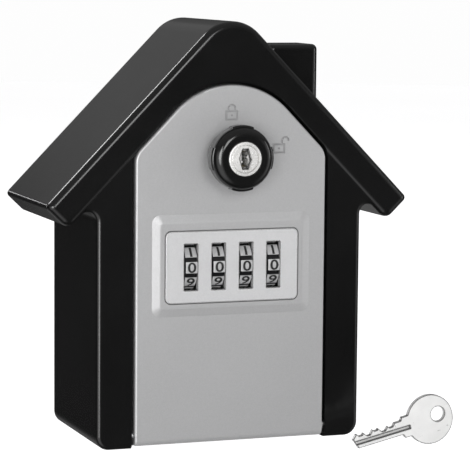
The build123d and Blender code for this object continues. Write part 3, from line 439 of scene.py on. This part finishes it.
def digits_for(number):
    """Ten printed digits wrapped round one wheel, 0 facing forwards at rest."""
    lo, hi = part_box(f"dial_wheel_{number}")
    centre = (lo + hi) / 2
    wheel_r = max(hi.z - lo.z, hi.y - lo.y) / 2
    print_r = wheel_r + DIGIT_LIFT
    joined = bmesh.new()
    for digit in range(PLACES):
        sheet = flat_digit(digit)
        low = min(v.co.y for v in sheet.verts)
        high = max(v.co.y for v in sheet.verts)
        left = min(v.co.x for v in sheet.verts)
        right = max(v.co.x for v in sheet.verts)
        for cut in range(1, DIGIT_CUTS):
            level = low + (high - low) * cut / DIGIT_CUTS
            bmesh.ops.bisect_plane(
                sheet,
                geom=sheet.verts[:] + sheet.edges[:] + sheet.faces[:],
                plane_co=(0, level, 0),
                plane_no=(0, 1, 0),
            )
        for v in sheet.verts:
            across = (v.co.x - (left + right) / 2) * DIGIT_STRETCH
            turn = (v.co.y - (low + high) / 2) / wheel_r + digit * tau / PLACES
            v.co = centre + Vector((across, -print_r * cos(turn), print_r * sin(turn)))
        wrapped = bpy.data.meshes.new("digit")
        sheet.to_mesh(wrapped)
        sheet.free()
        joined.from_mesh(wrapped)
        bpy.data.meshes.remove(wrapped)
    made = mesh_object(f"wheel_digits_{number}", joined, digit_ink)
    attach(made, f"wheel_{number}")


for number in WHEELS:
    digits_for(number)

# ------------------------------------------------------------------ key with rounded edges in painted shade
KEY_EDGE = 0.26 * MM
SAME_PLACE = 0.001 * MM
SAME_PLANE = radians(1)
SHARP = radians(40)


def worn_key():
    """The override key with its stamped edges rounded and painted dark as shade, in place of
    the sharp CAD solid.
    """
    source = nodes["override_key"]
    shape = bmesh.new()
    shape.from_mesh(source.data)
    shape.transform(source.matrix_world)
    bmesh.ops.remove_doubles(shape, verts=shape.verts, dist=SAME_PLACE)
    bmesh.ops.dissolve_limit(
        shape, angle_limit=SAME_PLANE, verts=shape.verts, edges=shape.edges
    )
    sharp = [e for e in shape.edges if len(e.link_faces) == 2 and e.calc_face_angle() > SHARP]
    rounded = bmesh.ops.bevel(
        shape,
        geom=sharp,
        offset=KEY_EDGE,
        offset_type="OFFSET",
        segments=2,
        profile=0.5,
        affect="EDGES",
        clamp_overlap=True,
    )
    # The rounded faces take the dark painted shade.
    for face in rounded["faces"]:
        face.material_index = 1
    made = mesh_object("worn_key", shape, key_nickel, key_edge)
    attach(made, "key")
    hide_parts("override_key")


worn_key()

# ------------------------------------------------------------------ coil springs of the bar
COIL_TURNS = 6  # the first and the last lie flat
COIL_STEPS = 28
WIRE_SIDES = 8
WIRE_R = 0.22 * MM


def coil_springs():
    """Two compression springs with flat end coils, drawn at one length; the real ones shorten
    as the bar lifts.
    """
    lo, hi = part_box("bar_springs")
    middle = (lo + hi) / 2
    outer_r = (hi.y - lo.y) / 2
    coil_r = outer_r - WIRE_R
    low, high = lo.z + WIRE_R, hi.z - WIRE_R
    live_turns = COIL_TURNS - 2
    end_pitch = 2 * WIRE_R
    live_pitch = (high - low - 2 * end_pitch) / live_turns
    shape = bmesh.new()
    for middle_x in (lo.x + outer_r, hi.x - outer_r):
        last = None
        for step in range(COIL_TURNS * COIL_STEPS + 1):
            turn = step / COIL_STEPS
            live = min(max(turn - 1, 0), live_turns)
            height = low + end_pitch * (turn - live) + live_pitch * live
            outward = Vector((cos(turn * tau), sin(turn * tau), 0))
            centre = Vector((middle_x, middle.y, height)) + outward * coil_r
            ring = []
            for side in range(WIRE_SIDES):
                angle = side * tau / WIRE_SIDES
                offset = outward * cos(angle) + Vector((0, 0, sin(angle)))
                ring.append(shape.verts.new(centre + offset * WIRE_R))
            if last:
                for side in range(WIRE_SIDES):
                    after = (side + 1) % WIRE_SIDES
                    shape.faces.new((last[side], last[after], ring[after], ring[side]))
            else:
                shape.faces.new(ring)
            last = ring
        shape.faces.new(reversed(last))
    bmesh.ops.recalc_face_normals(shape, faces=shape.faces)
    for face in shape.faces:
        face.smooth = True
    made = mesh_object("coil_springs", shape, spring_steel)
    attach(made, "door")
    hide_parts("bar_springs")
    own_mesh(made)


coil_springs()

# ------------------------------------------------------------------ floor
FLOOR_DROP = 24 * MM  # the open door hangs past level, so its knob needs this room
FLOOR_R = 3.0
FLOOR_GLOW = 0.66


def stage_floor():
    """A pale floor, near white without a hard shadow, that gloss does not mirror."""
    s = Shader("studio_floor", Emission_Strength=FLOOR_GLOW)
    s.bsdf.inputs["Emission Color"].default_value = (1, 1, 1, 1)
    s.colour(s.mix(s.spread_noise(0, 1, scale=3, detail=2), grey(0.86), grey(0.90)))
    s.rough(s.spread_noise(0.75, 0.9, scale=8, detail=2))
    centre = Matrix.Translation((0, 0, cad_box[0].z - FLOOR_DROP))
    disc = bmesh.new()
    bmesh.ops.create_circle(disc, cap_ends=True, segments=96, radius=FLOOR_R, matrix=centre)
    floor = mesh_object("studio_floor", disc, s.material)
    floor.visible_glossy = False


stage_floor()

# ------------------------------------------------------------------ world
# Strengths, and the spans of a direction's x, y and z over which one fades into the next.
ROOM_LOW = 0.03
ROOM_HIGH = 0.40
ROOM_SPAN = (-0.1, 0.9)
BEHIND = 0.35
BEHIND_UNDER_SPAN = (-0.50, -0.22)
BEHIND_SPAN = (0.0, 0.5)
BAND_MIDDLE = 0.06
BAND_SIDES = 1.5
BAND_CENTRE = 0.30
BAND_SIDE_SPAN = (0.2, 0.7)
BAND_FOOT_SPAN = (-1.0, -0.70)
BAND_TOP_SPAN = (0.10, 0.40)
BAND_FRONT_SPAN = (-0.55, 0.0)
BACKDROP = (0.985, 0.985, 0.985, 1)


def studio_world():
    """White behind the object. All other rays meet a dim room that is lighter above, a low
    band of light in front that is stronger at both sides, and a weak one low behind."""
    world = bpy.data.worlds.new("studio")
    scene.world = world
    world.use_nodes = True
    tree = world.node_tree
    tree.nodes.clear()

    def fade(value, span, low, high):
        made = tree.nodes.new("ShaderNodeMapRange")
        made.interpolation_type = "SMOOTHSTEP"
        levels = {"From Min": span[0], "From Max": span[1], "To Min": low, "To Max": high}
        for key, level in levels.items():
            made.inputs[key].default_value = level
        tree.links.new(value, made.inputs["Value"])
        return made.outputs[0]

    def join(operation, a, b):
        made = tree.nodes.new("ShaderNodeMath")
        made.operation = operation
        tree.links.new(a, made.inputs[0])
        if isinstance(b, float):
            made.inputs[1].default_value = b
        else:
            tree.links.new(b, made.inputs[1])
        return made.outputs[0]

    direction = tree.nodes.new("ShaderNodeTexCoord").outputs["Generated"]
    parts = tree.nodes.new("ShaderNodeSeparateXYZ")
    tree.links.new(direction, parts.inputs[0])
    x, y, z = parts.outputs
    low_down = join("MULTIPLY", fade(z, BAND_FOOT_SPAN, 0, 1), fade(z, BAND_TOP_SPAN, 1, 0))
    in_front = join("MULTIPLY", low_down, fade(y, BAND_FRONT_SPAN, 1, 0))
    aside = join("ABSOLUTE", join("SUBTRACT", x, BAND_CENTRE), 0.0)
    band = join("MULTIPLY", in_front, fade(aside, BAND_SIDE_SPAN, BAND_MIDDLE, BAND_SIDES))
    under = fade(z, BEHIND_UNDER_SPAN, BEHIND, 0)
    behind = join("MULTIPLY", under, fade(y, BEHIND_SPAN, 0, 1))
    room = join("ADD", behind, fade(z, ROOM_SPAN, ROOM_LOW, ROOM_HIGH))
    studio = tree.nodes.new("ShaderNodeBackground")
    studio.inputs["Color"].default_value = (1, 1, 1, 1)
    tree.links.new(join("ADD", band, room), studio.inputs["Strength"])
    white = tree.nodes.new("ShaderNodeBackground")
    white.inputs["Strength"].default_value = 1.0
    white.inputs["Color"].default_value = BACKDROP
    path = tree.nodes.new("ShaderNodeLightPath")
    blend = tree.nodes.new("ShaderNodeMixShader")
    tree.links.new(path.outputs["Is Camera Ray"], blend.inputs[0])
    tree.links.new(studio.outputs[0], blend.inputs[1])
    tree.links.new(white.outputs[0], blend.inputs[2])
    output = tree.nodes.new("ShaderNodeOutputWorld")
    tree.links.new(blend.outputs[0], output.inputs[0])


studio_world()

# ------------------------------------------------------------------ lights
SUN_PLACE = (-0.8, -1.3, 0.02)
SUN_SPREAD = radians(30)
SUN_STRENGTH = 1.42

# name, place, aim, width, height, power in watts
AREA_LIGHTS = (
    ("front_spot", (-0.05, -1.2, 0.36), (0, 0, 0.03), 0.35, 0.40, 3.4),
    ("left_strip", (-0.62, -1.05, 0.22), (0, 0, 0), 0.10, 0.55, 1.6),
    ("left_back_strip", (-0.85, 1.0, 0.20), (0, 0, 0), 0.12, 0.55, 0.8),
    ("eave_strip", (-0.42, 1.3, 0.24), (0, 0, 0.02), 0.35, 0.06, 0.25),
    ("right_strip", (1.2, -0.45, 0.22), (0, 0, 0), 0.10, 0.55, 1.0),
    ("slope_softbox", (-0.55, 0.82, 0.80), (0, 0, 0.05), 0.32, 0.32, 4.1),
    ("rim_light", (-0.35, 1.3, 0.62), (0, 0, 0.05), 1.3, 0.45, 0.17),
)


def turned_to(place, aim):
    """The turn that points a light or a camera at its aim, upright."""
    return (Vector(aim) - Vector(place)).to_track_quat("-Z", "Y")


def add_light(data, place, aim):
    light = bpy.data.objects.new(data.name, data)
    light.location = place
    light.rotation_euler = turned_to(place, aim).to_euler()
    light.visible_camera = False
    scene.collection.objects.link(light)


sun = bpy.data.lights.new("key_sun", "SUN")
sun.angle = SUN_SPREAD
sun.energy = SUN_STRENGTH
add_light(sun, SUN_PLACE, (0, 0, 0))
for name, place, aim, width, height, power in AREA_LIGHTS:
    panel = bpy.data.lights.new(name, "AREA")
    panel.shape = "RECTANGLE"
    panel.size = width
    panel.size_y = height
    panel.energy = power
    add_light(panel, place, aim)

scene.view_settings.view_transform = "Standard"

# ------------------------------------------------------------------ camera
EYE = Vector((-286.4, -842.0, 110.4)) * MM
TARGET = Vector((13.34, -22, 10.14)) * MM
ROLL = radians(0.49)
LENS = 181.9
SENSOR_WIDTH = 36

camera_data = bpy.data.cameras.new("camera")
camera_data.lens = LENS
camera_data.sensor_width = SENSOR_WIDTH
camera_data.clip_start = 0.01
camera = bpy.data.objects.new("camera", camera_data)
scene.collection.objects.link(camera)
look = turned_to(EYE, TARGET).to_matrix().to_4x4()
camera.matrix_world = Matrix.Translation(EYE) @ look @ Matrix.Rotation(ROLL, 4, "Z")
bpy.context.scene.camera = camera
